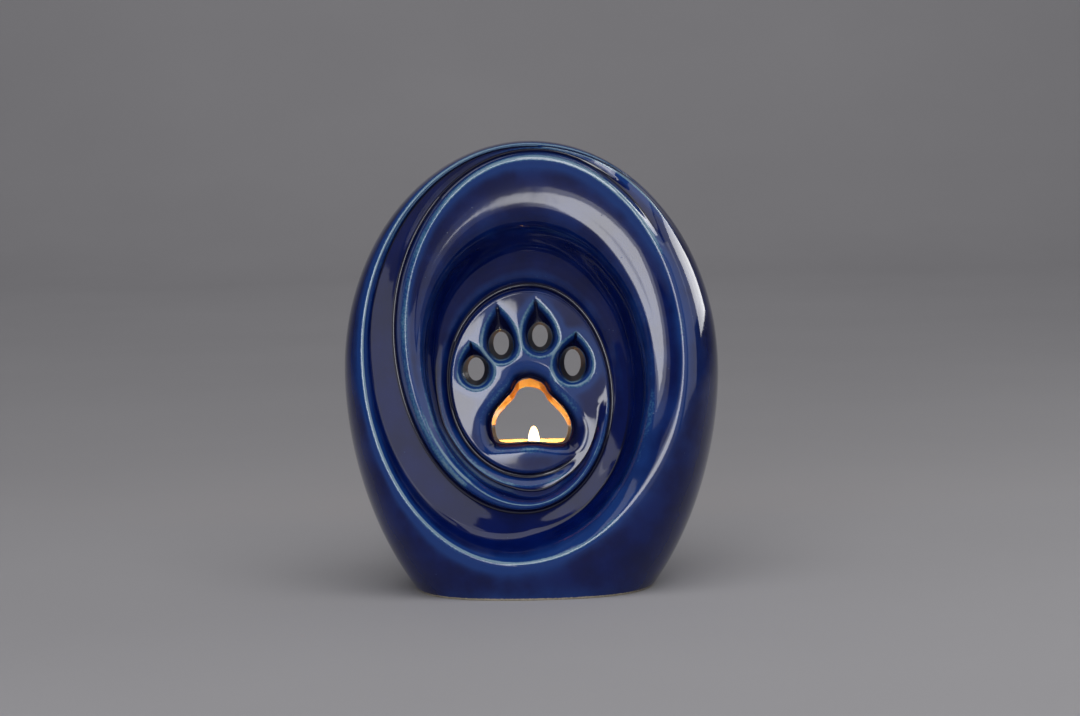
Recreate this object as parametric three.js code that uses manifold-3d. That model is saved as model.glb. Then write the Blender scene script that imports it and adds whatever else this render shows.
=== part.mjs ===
// A hollow glazed urn: an egg-shaped body with a spiral bowl in front, a paw cut through the plate in the
// middle of the bowl, a niche behind it that holds a tea light, and an ash chamber filled through the base.
import * as THREE from "three";
import Module from "manifold-3d";

// Driving sizes, in millimetres. X is to the viewer's right, Z is up and the front faces -Y.

// The egg
const height = 230;
const halfWidth = 96.2;
const widestHeight = 112;
const lowerReach = 150; // how far the egg would go on below its widest point if the base did not end it
const lowerPower = 1.9;
const backDepth = 48.4;
const backPower = 2.6;
const wall = 6;

// The spiral ridge, from the right side over the top and round inwards. Each point is where the ridge is
// furthest right, up, left or down in turn: x, z, and its depth before the plane that the front leans in.
const lean = 0.14; // millimetres of depth for each millimetre of height
const ridgePoints = [
  [halfWidth, widestHeight, 0],
  [-1, 228.3, -28.3],
  [-85.5, 125, -33.8],
  [-8, 17.6, -34.5],
  [77, 120, -39],
  [2, 222, -39.4],
  [-63.2, 135, -31.2],
  [-3, 45.3, -20.7],
  [38.8, 98, -6],
  [-1, 152, -4.4],
  [-40.8, 107, -3.8],
  [-2, 61.3, -3.9],
  [26, 86, -4],
];
const ridgeStart = [0.3, 1]; // quarter turns over which it leaves the egg's widest line
const ridgeRadius = 2.7; // how sharply a ridge turns over into the bowl

// Sections across the bowl, from one turn of the ridge to the next, at the same quarter turns from the fourth
// on: the width, drop and last slope of the band under the outer ridge, where the steep part after it ends,
// the slope of the floor, the step down to the crease, and the width and rise of the wall up to the inner
// ridge.
const sections = [
  { band: 0.6, fall: 0.2, tilt: 0.6, steep: 1.5, slope: 0.3, step: 0, wall: 3.7, rise: 13 },
  { band: 0.6, fall: 0.2, tilt: 0.6, steep: 1.5, slope: 0.3, step: 0, wall: 3.7, rise: 13 },
  { band: 2.4, fall: 1.3, tilt: 0.9, steep: 6, slope: 0.42, step: 0, wall: 7, rise: 7 },
  { band: 4.5, fall: 3.3, tilt: 1.4, steep: 15, slope: 0.32, step: 0.6, wall: 3.8, rise: 6.7 },
  { band: 17, fall: 4.5, tilt: 0.1, steep: 33, slope: 0.35, step: 3, wall: 2.6, rise: 3.5 },
  { band: 25, fall: 5, tilt: 0.1, steep: 56, slope: 0.3, step: 4, wall: 3.6, rise: 4.2 },
  { band: 10, fall: 3.2, tilt: 0.15, steep: 25, slope: 0.3, step: 4, wall: 3.6, rise: 4.2 },
  { band: 2, fall: 1.6, tilt: 1.6, steep: 6, slope: 0.2, step: 3, wall: 3.2, rise: 3.2 },
  { band: 2, fall: 0.1, tilt: 0.05, steep: 6, slope: 0.2, step: 3, wall: 3.2, rise: 3.2 },
];
const bandTail = 0.65; // share of the band that keeps its last slope
const bandRadius = 8; // how softly the band turns down into the steep part
const stepWidth = 6.5;
const creaseRadius = 1.3;
const shoulderRadius = 2.5;
const creaseStart = [4.3, 4.8]; // quarter turns over which the crease comes in
const creaseEnd = [11.15, 11.65]; // quarter turns over which it dies away

// The plate in the middle of the bowl and the paw cut through it
const plateDepth = -4; // before the leaning plane
const plateThickness = 11;
// The size of a hole at the back of the plate, over its size in front, and how far over its centre that is
// taken
const toeTaper = { x: 0.6, z: 0.76, over: 0 };
const padTaper = { x: 0.9, z: 0.84, over: -12 };
const toes = [
  { x: -28.7, z: 112.4, halfWidth: 7.1, halfHeight: 7.8, dish: 9.8, tipX: -2.6, tipZ: 14.8 },
  { x: -15.5, z: 125.4, halfWidth: 6.7, halfHeight: 7.8, dish: 9.9, tipX: -1.6, tipZ: 20.4 },
  { x: 4.7, z: 128.9, halfWidth: 6.7, halfHeight: 7.5, dish: 9.9, tipX: -2.2, tipZ: 19.4 },
  { x: 21.3, z: 114.8, halfWidth: 7.1, halfHeight: 9, dish: 10.8, tipX: 2, tipZ: 16.4 },
];
const padPoints = [
  [-1.5, 108.2],
  [-7.2, 106.6],
  [-10.4, 101.4],
  [-15.2, 96],
  [-20.4, 89],
  [-21.2, 81.5],
  [-18.4, 75.2],
  [-10, 74.6],
  [0, 75.2],
  [10, 74],
  [17.6, 74.8],
  [20.5, 82],
  [18.4, 88.8],
  [13.2, 95.6],
  [9.4, 99.6],
  [5.6, 105.6],
];
const padCentre = [-0.8, 86];
const padDish = 1.36; // size of the hollow round the pad's hole, over the hole's own size
const dishDepth = 2.8;

// The candle niche behind the plate, and its window in the back of the urn
const nicheHalfWidth = 37;
const nicheMiddle = 105;
const nicheTop = 141;
const nicheFloor = 52;
const sillHeight = 70.5;
const sillFront = 42; // depth of the sill's inner face
const archPower = 2.3;
const nicheCorner = 12;

// The base and its fill hole
const baseThickness = 6;
const holeRadius = 18;
const holeY = -4;

// The tea light
const fitGap = 0.3;
const lightY = 21.5;
const cupRadius = 19.2;
const cupHeight = 15.5;
const cupWall = 0.4;
const waxTop = 11.5;
const wickRadius = 0.8;
const wickHeight = 15.5;

// How finely the surfaces are divided
const quarterColumns = 15;
const stripRows = 12;
// Where the band, steep part, floor and step of a section end, along its rows
const sectionBreaks = [1 / 4, 1 / 2, 2 / 3, 5 / 6];
const backRows = 9;
const sampleColumns = 30;
const sampleRows = 20;
const chamberColumns = 36;
const chamberRows = 7;
const toeSides = 24;
const padSides = 36;
const roundSides = 36;
const archSides = 20;
const cornerSides = 5;

const { abs, sign, cos, sin, atan2, min, max, sqrt, hypot, PI } = Math;
const mix = (a, b, f) => a + (b - a) * f;
const power = (v, p) => sign(v) * abs(v) ** p;

function smooth(from, to, v) {
  const f = min(max((v - from) / (to - from), 0), 1);
  return f * f * (3 - 2 * f);
}

// A smooth run through evenly spaced values
function glide(values, t) {
  const k = min(max(Math.floor(t), 0), values.length - 2);
  const f = t - k;
  const b = values[k];
  const c = values[k + 1];
  const a = k > 0 ? values[k - 1] : 2 * b - c;
  const d = k + 2 < values.length ? values[k + 2] : 2 * c - b;
  return b + 0.5 * f * (c - a + f * (2 * a - 5 * b + 4 * c - d + f * (3 * (b - c) + d - a)));
}

// The egg's widest line, at t quarter turns from the right
function equator(t) {
  const angle = (t * PI) / 2;
  const c = cos(angle);
  const s = sin(angle);
  if (s >= 0) return [halfWidth * c, 0, widestHeight + (height - widestHeight) * s];
  const p = 2 / lowerPower;
  return [halfWidth * power(c, p), 0, widestHeight + lowerReach * power(s, p)];
}

const leanAt = (z) => lean * (z - widestHeight);

// The ridge at t quarter turns: quarter ellipses through its outermost points. It starts on the widest line.
function ridge(t) {
  const k = min(Math.floor(t), ridgePoints.length - 2);
  const angle = ((t - k) * PI) / 2;
  const [x0, z0] = ridgePoints[k];
  const [x1, z1] = ridgePoints[k + 1];
  const across = k % 2 === 0;
  const free = smooth(ridgeStart[0], ridgeStart[1], t);
  const side = equator(t);
  const x = mix(side[0], across ? mix(x1, x0, cos(angle)) : mix(x0, x1, sin(angle)), free);
  const z = mix(side[2], across ? mix(z0, z1, sin(angle)) : mix(z1, z0, cos(angle)), free);
  const depth = glide(ridgePoints.map((point) => point[2]), t);
  return [x, depth + leanAt(z), z];
}

// One S-shaped run of a section between two points given as distance, depth and slope: lead and tail say how
// far each end keeps its slope
function sRun(from, to, lead, tail, u) {
  const v = 1 - u;
  const weights = [v ** 3, 3 * v * v * u, 3 * v * u * u, u ** 3];
  const distances = [from[0], from[0] + lead, to[0] - tail, to[0]];
  const depths = [from[1], from[1] + lead * from[2], to[1] - tail * to[2], to[1]];
  const blend = (values) => values.reduce((sum, value, i) => sum + value * weights[i], 0);
  return [blend(distances), blend(depths)];
}

// The handle that gives an S-shaped run this radius where it leaves its end
const handle = (rise, radius, most) => min(sqrt((2 / 3) * abs(rise) * radius), most);

// A section across the bowl from one turn of the ridge to the next, as distance across and depth before the
// leaning plane, at u from 0 to 1
function bowlSection(t, length, outerDepth, innerDepth, u) {
  const fade = 1 - smooth(creaseEnd[0], creaseEnd[1], t);
  const named = (name) => glide(sections.map((section) => section[name]), t - 4);
  const fall = named("fall");
  const rise = named("rise") * fade;
  const step = named("step") * fade;
  const slope = named("slope");
  const wallRun = min(named("wall"), 0.57 * length);
  const creaseAt = length - wallRun;
  const stepRun = min(stepWidth, 0.4 * creaseAt);
  const shoulderAt = creaseAt - stepRun;
  const floorAt = min(named("steep"), 0.9 * shoulderAt);
  const bandAt = min(named("band"), 0.6 * floorAt);
  const dishRun = floorAt - bandAt;
  const bandDepth = outerDepth + fall;
  const creaseDepth = innerDepth + rise;
  const shoulderDepth = creaseDepth - max(step, slope * stepRun);
  const floorDepth = shoulderDepth - slope * (shoulderAt - floorAt);
  const drop = max(step, 1);
  const half = 0.5 * stepRun;
  const third = (shoulderAt - floorAt) / 3;
  const crest = [0, outerDepth, 0];
  const edge = [bandAt, bandDepth, named("tilt")];
  const floor = [floorAt, floorDepth, slope];
  const shoulder = [shoulderAt, shoulderDepth, slope];
  const crease = [creaseAt, creaseDepth, 0];
  const inner = [length, innerDepth, 0];
  const runs = [
    [crest, edge, handle(fall, ridgeRadius, 0.5 * bandAt), bandTail * bandAt],
    [edge, floor, handle(floorDepth - bandDepth, bandRadius, 0.5 * dishRun), 0.45 * dishRun],
    [floor, shoulder, third, third],
    [shoulder, crease, handle(drop, shoulderRadius, half), handle(drop, creaseRadius, half)],
    [crease, inner, handle(rise, creaseRadius, 0.45 * wallRun), handle(rise, ridgeRadius, 0.6 * wallRun)],
  ];
  const k = sectionBreaks.filter((end) => u >= end).length;
  const low = k > 0 ? sectionBreaks[k - 1] : 0;
  const high = k < sectionBreaks.length ? sectionBreaks[k] : 1;
  return sRun(...runs[k], (u - low) / (high - low));
}

// A point of the front at t quarter turns along the spiral strip and u across it, from its outer edge to the
// ridge at t. In its first turn the strip is the side wall, out to the egg's widest line.
function frontPoint(t, u) {
  const inner = ridge(t);
  const outer = t < 4 ? equator(t) : ridge(t - 4);
  const angle = (u * PI) / 2;
  const creased = smooth(creaseStart[0], creaseStart[1], t < 4 ? t + 4 : t);
  const bent = t < 4 ? creased : 1;
  const across = mix(u, 1 - cos(angle), bent);
  const convex = [0, 1, 2].map((i) => mix(outer[i], inner[i], i === 1 ? mix(u, sin(angle), bent) : across));
  if (t < 4 || creased === 0) return convex;
  const length = hypot(inner[0] - outer[0], inner[2] - outer[2]);
  const outerDepth = outer[1] - leanAt(outer[2]);
  const innerDepth = inner[1] - leanAt(inner[2]);
  const [d, depth] = bowlSection(t, length, outerDepth, innerDepth, u);
  const x = mix(outer[0], inner[0], d / length);
  const z = mix(outer[2], inner[2], d / length);
  const creasedPoint = [x, depth + leanAt(z), z];
  return convex.map((v, i) => mix(v, creasedPoint[i], creased));
}

// Solids

const wasm = await Module();
wasm.setup();

// Collects triangles and merges the points that they share
function newSkin() {
  const places = new Map();
  const points = [];
  const faces = [];
  const add = (point) => {
    const key = point.map((v) => Math.round(v * 1000)).join();
    if (!places.has(key)) {
      places.set(key, points.length / 3);
      points.push(...point);
    }
    return places.get(key);
  };
  const triangle = (a, b, c) => {
    const ids = [add(a), add(b), add(c)];
    if (new Set(ids).size === 3) faces.push(...ids);
  };
  const quad = (a, b, c, d) => {
    triangle(a, b, c);
    triangle(a, c, d);
  };
  const solid = () =>
    new wasm.Manifold(
      new wasm.Mesh({
        numProp: 3,
        vertProperties: new Float32Array(points),
        triVerts: new Uint32Array(faces),
      }),
    );
  return { triangle, quad, solid };
}

// A solid skinned over rings of points; a looped one joins its last ring to its first
function loft(rings, looped = false) {
  const skin = newSkin();
  const sides = rings[0].length;
  const next = (i) => (i + 1) % sides;
  const runs = looped ? rings.length : rings.length - 1;
  for (let k = 0; k < runs; k++) {
    const low = rings[k];
    const high = rings[(k + 1) % rings.length];
    for (let i = 0; i < sides; i++) skin.quad(low[i], low[next(i)], high[next(i)], high[i]);
  }
  if (!looped) {
    const middle = (ring) => [0, 1, 2].map((i) => ring.reduce((sum, p) => sum + p[i], 0) / sides);
    const first = rings[0];
    const last = rings[rings.length - 1];
    for (let i = 0; i < sides; i++) skin.triangle(middle(first), first[next(i)], first[i]);
    for (let i = 0; i < sides; i++) skin.triangle(middle(last), last[i], last[next(i)]);
  }
  return skin.solid();
}

// A round solid about an upright axis, from points of its section as radius and height
function turned(x, y, section, looped = false) {
  const ring = ([radius, z]) =>
    Array.from({ length: roundSides }, (_, i) => {
      const angle = (2 * PI * i) / roundSides;
      return [x + radius * cos(angle), y + radius * sin(angle), z];
    });
  return loft(section.map(ring), looped);
}

function block(low, high) {
  const [a, b] = [low, high];
  const ring = (z) => [[a[0], a[1], z], [b[0], a[1], z], [b[0], b[1], z], [a[0], b[1], z]];
  return loft([ring(a[2]), ring(b[2])]);
}

// The back of the egg, or of a smaller egg inside it, on the ray to an outline point
function domePoint(edge, depth, angle) {
  const reach = cos(angle) ** (2 / backPower);
  const y = depth * sin(angle) ** (2 / backPower);
  return [edge[0] * reach, y, widestHeight + (edge[2] - widestHeight) * reach];
}

// The whole egg with its carved front, before anything is cut out of it
function makeBlank() {
  const skin = newSkin();
  const turns = ridgePoints.length - 1;
  const at = (i, j) => frontPoint(i / quarterColumns, j / stripRows);
  for (let i = 0; i < turns * quarterColumns; i++)
    for (let j = 0; j < stripRows; j++) skin.quad(at(i, j), at(i + 1, j), at(i + 1, j + 1), at(i, j + 1));

  const rim = [];
  for (let i = (turns - 4) * quarterColumns; i < turns * quarterColumns; i++) rim.push(at(i, stripRows));
  for (let j = stripRows; j > 0; j--) rim.push(at(turns * quarterColumns, j));
  const flat = rim.map(([x, , z]) => new THREE.Vector2(x, z));
  for (const [a, b, c] of THREE.ShapeUtils.triangulateShape(flat, [])) skin.triangle(rim[a], rim[b], rim[c]);

  const back = (i, j) => {
    const edge = equator((i % (4 * quarterColumns)) / quarterColumns);
    return domePoint(edge, backDepth, (j / backRows) * (PI / 2));
  };
  for (let i = 0; i < 4 * quarterColumns; i++)
    for (let j = 0; j < backRows; j++)
      skin.quad(back(i, j), back(i, j + 1), back(i + 1, j + 1), back(i + 1, j));
  return skin.solid();
}

// The outline of the niche, wider by margin, down to the height of its floor or its sill
function arch(low, margin, y) {
  const reach = nicheHalfWidth + margin;
  const corner = nicheCorner + margin;
  const points = [[reach, nicheMiddle]];
  for (const side of [1, -1])
    for (let i = 0; i <= cornerSides; i++) {
      const angle = (-(i / cornerSides + (side < 0 ? 1 : 0)) * PI) / 2;
      const turn = [corner * cos(angle), corner * sin(angle)];
      points.push([side * (reach - corner) + turn[0], low - margin + corner + turn[1]]);
    }
  for (let i = 0; i < archSides; i++) {
    const angle = PI * (1 - i / archSides);
    const rise = (nicheTop - nicheMiddle + margin) * power(sin(angle), 2 / archPower);
    points.push([reach * power(cos(angle), 2 / archPower), nicheMiddle + rise]);
  }
  return points.map(([x, z]) => [x, y(z), z]);
}

const plateFront = (z) => plateDepth + leanAt(z);
const plateBack = (z) => plateFront(z) + plateThickness;
const beyond = backDepth + 10;

function makeNiche() {
  return loft([
    arch(nicheFloor, 0, plateBack),
    arch(nicheFloor, 0, () => sillFront),
    arch(sillHeight, 0, () => sillFront),
    arch(sillHeight, 0, () => beyond),
  ]);
}

// The outlines of a toe's hole and of the hollow round it: round below, and a pointed arch up to its tip
function toeHole(toe, angle) {
  return [toe.halfWidth * cos(angle), toe.halfHeight * sin(angle)];
}

function toeDish(toe, angle) {
  const height = hypot(toe.tipX, toe.tipZ);
  const turn = angle - atan2(toe.tipZ, toe.tipX);
  const arched = cos(turn) > 0;
  const along = cos(turn) * (arched ? height : toe.dish);
  const across = sin(turn) * toe.dish * (arched ? abs(sin(turn)) : 1);
  return [(along * toe.tipX - across * toe.tipZ) / height, (along * toe.tipZ + across * toe.tipX) / height];
}

// A cutter through the plate: the hollow in front narrows to the hole, which tapers to the back
function pawCutter(centre, hole, dish, taper, sides) {
  const evenly = (scale) => ({ x: scale, z: scale, over: 0 });
  const ring = (shape, scale, depth) =>
    Array.from({ length: sides }, (_, i) => {
      const [x, z] = shape((-2 * PI * i) / sides);
      const height = centre[1] + mix(scale.over, z, scale.z);
      return [centre[0] + scale.x * x, plateFront(height) + depth, height];
    });
  return loft([
    ring(dish, evenly(1.25), -dishDepth * 1.2),
    ring(dish, evenly(1), 0),
    ring(hole, evenly(1.1), dishDepth * 0.8),
    ring(hole, evenly(1), dishDepth * 1.4),
    ring(hole, taper, plateThickness),
    ring(hole, taper, plateThickness + 3),
  ]);
}

// The pad's outline about its centre, at an angle that counts the way round rather than the direction
function padShape(scale) {
  const loop = padPoints.map(([x, z]) => new THREE.Vector3(x - padCentre[0], 0, z - padCentre[1]));
  const curve = new THREE.CatmullRomCurve3(loop.reverse(), true);
  return (angle) => {
    const point = curve.getPoint(-angle / (2 * PI));
    return [scale * point.x, scale * point.z];
  };
}

// The ash chamber: a wall's thickness inside the egg and the bowl, and clear of the niche
function makeChamber() {
  const samples = [];
  for (let i = 0; i < (ridgePoints.length - 1) * sampleColumns; i++)
    for (let j = 0; j < sampleRows; j++) samples.push(frontPoint(i / sampleColumns, j / sampleRows));
  const behindFront = (x, z) => {
    let depth = plateBack(z);
    let found = false;
    for (const [sx, sy, sz] of samples) {
      const away = hypot(sx - x, sz - z);
      if (away >= wall) continue;
      const here = sy + sqrt(wall * wall - away * away);
      depth = found ? max(depth, here) : here;
      found = true;
    }
    return depth;
  };
  const inset = ([x, y, z]) => {
    const away = hypot(x, z - widestHeight);
    const scale = 1 - wall / away;
    return [x * scale, y, widestHeight + (z - widestHeight) * scale];
  };
  const skin = newSkin();
  const back = (i, j) => {
    const edge = inset(equator(((i % chamberColumns) * 4) / chamberColumns));
    return domePoint(edge, backDepth - wall, (j / chamberRows) * (PI / 2));
  };
  const front = (i, j) => {
    const [x, y, z] = back(i, j);
    if (j === 0) return [x, y, z];
    return [x, min(behindFront(x, z), y - 0.5), z];
  };
  for (let i = 0; i < chamberColumns; i++)
    for (let j = 0; j < chamberRows; j++) {
      skin.quad(back(i, j), back(i, j + 1), back(i + 1, j + 1), back(i + 1, j));
      skin.quad(front(i, j), front(i + 1, j), front(i + 1, j + 1), front(i, j + 1));
    }
  const keep = loft([arch(nicheFloor, wall, () => -beyond), arch(nicheFloor, wall, () => beyond)]);
  const below = block([-2 * halfWidth, -2 * beyond, -height], [2 * halfWidth, 2 * beyond, baseThickness]);
  return skin.solid().subtract(keep).subtract(below);
}

function makeBody() {
  let body = makeBlank().subtract(makeNiche());
  for (const toe of toes) {
    const hole = (angle) => toeHole(toe, angle);
    const dish = (angle) => toeDish(toe, angle);
    body = body.subtract(pawCutter([toe.x, toe.z], hole, dish, toeTaper, toeSides));
  }
  body = body.subtract(pawCutter(padCentre, padShape(1), padShape(padDish), padTaper, padSides));
  body = body.subtract(makeChamber());
  body = body.subtract(turned(0, holeY, [[holeRadius, -1], [holeRadius, baseThickness + 1]]));
  return body.subtract(block([-2 * halfWidth, -2 * beyond, -height], [2 * halfWidth, 2 * beyond, 0]));
}

const cupBottom = nicheFloor + 0.05;
const waxBottom = cupBottom + cupWall + 0.05;

function makeCup() {
  const inside = cupRadius - cupWall;
  return turned(0, lightY, [
    [cupRadius - 0.8, cupBottom],
    [cupRadius, cupBottom + 0.8],
    [cupRadius, cupBottom + cupHeight],
    [inside, cupBottom + cupHeight],
    [inside, cupBottom + cupWall + 0.8],
    [inside - 0.8, cupBottom + cupWall],
  ]);
}

function makeWax() {
  const outside = cupRadius - cupWall - fitGap;
  const bore = wickRadius + fitGap;
  const top = cupBottom + waxTop;
  const section = [
    [bore, waxBottom],
    [outside - 1, waxBottom],
    [outside, waxBottom + 1],
    [outside, top],
    [outside - 1.5, top - 0.9],
    [bore, top - 1.2],
  ];
  return turned(0, lightY, section, true);
}

function makeWick() {
  return turned(0, lightY, [
    [wickRadius, waxBottom],
    [wickRadius, cupBottom + wickHeight - 1],
    [wickRadius * 0.6, cupBottom + wickHeight],
  ]);
}

// The part

const group = new THREE.Group();

function addNode(name, solid, color, roughness, metalness) {
  const mesh = solid.getMesh();
  const geometry = new THREE.BufferGeometry();
  geometry.setAttribute("position", new THREE.BufferAttribute(new Float32Array(mesh.vertProperties), 3));
  geometry.setIndex(new THREE.BufferAttribute(new Uint32Array(mesh.triVerts), 1));
  geometry.computeVertexNormals();
  const node = new THREE.Mesh(geometry, new THREE.MeshStandardMaterial({ color, roughness, metalness }));
  node.name = name;
  group.add(node);
}

addNode("urn_body", makeBody(), 0x1c2f7c, 0.12, 0);
addNode("tealight_cup", makeCup(), 0xc9ccd0, 0.3, 1);
addNode("tealight_wax", makeWax(), 0xf3ead2, 0.5, 0);
addNode("tealight_wick", makeWick(), 0x3a332c, 0.9, 0);

export default group;
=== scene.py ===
import math

import bmesh
import bpy
import numpy as np
from mathutils import Matrix, Vector
from mathutils.geometry import delaunay_2d_cdt


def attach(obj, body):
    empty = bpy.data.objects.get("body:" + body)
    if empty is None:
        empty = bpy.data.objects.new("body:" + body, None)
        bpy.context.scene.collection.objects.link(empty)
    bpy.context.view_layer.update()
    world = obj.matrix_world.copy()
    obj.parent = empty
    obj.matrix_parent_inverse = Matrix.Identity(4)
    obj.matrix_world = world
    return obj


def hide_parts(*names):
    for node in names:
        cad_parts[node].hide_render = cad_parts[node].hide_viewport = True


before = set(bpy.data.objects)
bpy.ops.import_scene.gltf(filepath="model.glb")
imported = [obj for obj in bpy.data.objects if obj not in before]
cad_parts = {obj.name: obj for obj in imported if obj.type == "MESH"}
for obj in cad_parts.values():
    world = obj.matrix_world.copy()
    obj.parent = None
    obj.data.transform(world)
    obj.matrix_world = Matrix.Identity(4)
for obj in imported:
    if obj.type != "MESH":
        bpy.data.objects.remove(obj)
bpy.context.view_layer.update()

METRES = 0.001  # the shapes below are worked out in millimetres, X right, Z up, front towards -Y

# The egg
HEIGHT = 230
HALF_WIDTH = 96.2
WIDEST = 112
LOWER_REACH = 150
LOWER_POWER = 1.9
BACK_DEPTH = 48.4
BACK_POWER = 2.6
WALL = 6
MIDDLE = np.array([0, WIDEST])

# The spiral ridge at each quarter turn: x, z and depth before the leaning plane
LEAN = 0.14
RIDGE = np.array([
    [HALF_WIDTH, WIDEST, 0],
    [-1, 228.3, -28.3],
    [-85.5, 125, -33.8],
    [-8, 17.6, -34.5],
    [77, 120, -39],
    [2, 222, -39.4],
    [-63.2, 135, -31.2],
    [-3, 45.3, -20.7],
    [38.8, 98, -4.8],
    [-1, 152, -4.4],
    [-40.8, 107, -3.8],
    [-2, 61.3, -3.9],
    [26, 86, -4],
])
TURNS = len(RIDGE) - 1
RIDGE_START = (0.3, 1)
RIDGE_RADIUS = 2.7

# Sections across the bowl from the fourth quarter turn on: width, drop and last slope of the band under the
# outer ridge, where the steep part ends, slope of the floor, step down to the crease, and width and rise of
# the wall up to the inner ridge
SECTIONS = np.array([
    [0.6, 0.2, 0.6, 1.5, 0.3, 0, 3.7, 13],
    [0.6, 0.2, 0.6, 1.5, 0.3, 0, 3.7, 13],
    [2.4, 1.3, 0.9, 6, 0.42, 0, 7, 7],
    [4.5, 3.3, 1.4, 15, 0.32, 0.6, 3.8, 6.7],
    [17, 4.5, 0.1, 33, 0.35, 3, 2.6, 3.5],
    [25, 5, 0.1, 56, 0.3, 4, 3.6, 4.2],
    [10, 3.2, 0.15, 25, 0.3, 4, 3.6, 4.2],
    [2, 1.6, 1.6, 6, 0.2, 3, 3.2, 3.2],
    [2, 0.1, 0.05, 12, 0, 3, 3.2, 3.2],
])
BAND_TAIL = 0.65
BAND_RADIUS = 8
STEP_WIDTH = 6.5
CREASE_RADIUS = 1.3
SHOULDER_RADIUS = 2.5
CREASE_START = (4.3, 4.8)
CREASE_END = (11.15, 11.65)
SECTION_BREAKS = (1 / 4, 1 / 2, 2 / 3, 5 / 6)
WALL_MOST = 0.57  # longest share of a section that its wall may take, and so on down to the band
STEP_MOST = 0.4
FLOOR_MOST = 0.9
BAND_MOST = 0.6
ROUND_MOST = 0.5  # longest share of a run that a rounded end may take
FLOOR_TAIL = 0.45
CREASE_MOST = 0.45
CREST_MOST = 0.6

# The plate and the paw cut through it. A toe: x, z, half width, half height, dish radius, dish tip x, z
PLATE_DEPTH = -4
PLATE_THICKNESS = 11
PLATE_BULGE = 2
PLATE_SWELL = 14  # distance from the rim at which the plate has half its bulge
PLATE_FLOW = 10  # distance from the rim at which it is halfway to its own plane
RIM_BLUE = 3  # width along the rim where the glaze stays blue
BLUE_RING = (6.7, 8.6)  # quarter turns of the ridge under the plate, where it stays partly blue
RING_BLUE = 0.88
TOES = [
    (-28.7, 112.4, 7.1, 7.8, 9.8, -2.6, 14.8),
    (-15.5, 125.4, 6.7, 7.8, 9.9, -1.6, 20.4),
    (4.7, 128.9, 6.7, 7.5, 9.9, -2.2, 19.4),
    (21.3, 114.8, 7.1, 9, 10.8, 2, 16.4),
]
PAD = np.array([
    [-1.5, 108.2],
    [-7.2, 106.6],
    [-10.4, 101.4],
    [-15.2, 96],
    [-20.4, 89],
    [-21.2, 81.5],
    [-18.4, 75.2],
    [-10, 74.6],
    [0, 75.2],
    [10, 74],
    [17.6, 74.8],
    [20.5, 82],
    [18.4, 88.8],
    [13.2, 95.6],
    [9.4, 99.6],
    [5.6, 105.6],
])
PAD_CENTRE = np.array([-0.8, 86])
PAD_DISH = 1.36
TOE_TAPER = (0.6, 0.76, 0)  # size of a hole at the plate's back in x and z, taken this far over its centre
PAD_TAPER = (0.9, 0.84, -12)
TOE_SLOPE = 1.15  # how steeply the hollow round a toe falls to its hole, and how deep it gets
TOE_DEPTH = 7
PAD_DEPTH = 5
PAD_ROLL = 1.5
PAD_CANDLELIT = (81, 87)  # heights between which the wall of the pad's hole goes from glaze in painted shade to clay in painted candlelight
HOLLOW_EDGE = 0.9  # how softly the plate turns over into a hollow, and how softly a hollow ends below
HOLLOW_SOFT = 2
DEEP_RANGE = (1, 3.4)  # depths in a hollow between which its glaze goes dark, as pooled glaze with painted shade
HOLE_ROUND = 0.8

# The niche, its window and the sill
NICHE_HALF_WIDTH = 37
NICHE_MIDDLE = 105
NICHE_TOP = 141
NICHE_FLOOR = 52
SILL_HEIGHT = 70.5
SILL_FRONT = 42
ARCH_POWER = 2.3
NICHE_CORNER = 12
WINDOW_ROUND = 2
SILL_ROUND = 1.2

# The base
BASE_THICKNESS = 6
FILL_RADIUS = 18
FILL_Y = -4
FOOT_ROUND = 1.6
FOOT_CLAY = (0.7, 1.5)  # heights between which bare clay goes under the glaze
FOOT_BLUE = (3, 9)  # heights between which the glaze starts to go pale on edges, with its painted highlight
FILL_ROUND = 0.8

# How finely the surfaces are divided, and how near points may come to each other and to edges
QUARTER = 84
ROWS = 48
DOME_ROWS = 34
PLATE_SPACING = 0.8
RIM_RINGS = (0.5, 1.0, 1.6)  # distances of the rings of points along the plate's rim
DISH_SIDES = 120
DISH_RINGS = 9
HOLLOW_RINGS = (0.5, 1.1, 1.8)  # distances of the rings of points round each hollow
HOLLOW_CLEAR = 2.4
HOLLOW_OVERLAP = -0.4  # depth down to which a ring of points runs on beside another hollow
RING_GAP = 0.35
RING_SHARE = 0.9  # share of its distance that a ring along the rim has to keep from the rim
RIM_CLEAR = 0.3
HOLE_CLEAR = 0.15
NEAREST = 0.05
SHORTEST = 0.1
COARSE_SPACING = 4  # spacing on flat faces that are out of sight
COARSE_CLEAR = 1.5
NICHE_CLEAR = 1.2
PAD_STEP = 0.02  # spacing along the pad's outline, as a share of the run between two of its points
CORNER_STEPS = 24
ARCH_STEPS = 200
NICHE_ROWS = 14
CHAMBER_QUARTER = 36
CHAMBER_ROWS = 14
CHAMBER_LEAST = 0.5
PROBE_QUARTER = 30
PROBE_ROWS = 20
FILL_SIDES = 72
FLAME_SIDES = 32
FLAME_ROWS = 28
SWEEP_STEPS = 24
WELD_STEPS = 2000  # steps in a millimetre when points are matched
WALL_RINGS = 8
BEND_STEPS = 5
SHARP_ANGLE = 40
FINE_BLUR = 2  # rounds of averaging with neighbours, for the marks that the glaze reads
WIDE_BLUR = 40
KEPT_BLUE = 0.8  # how far the glaze stays blue on the edges that are marked so

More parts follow.
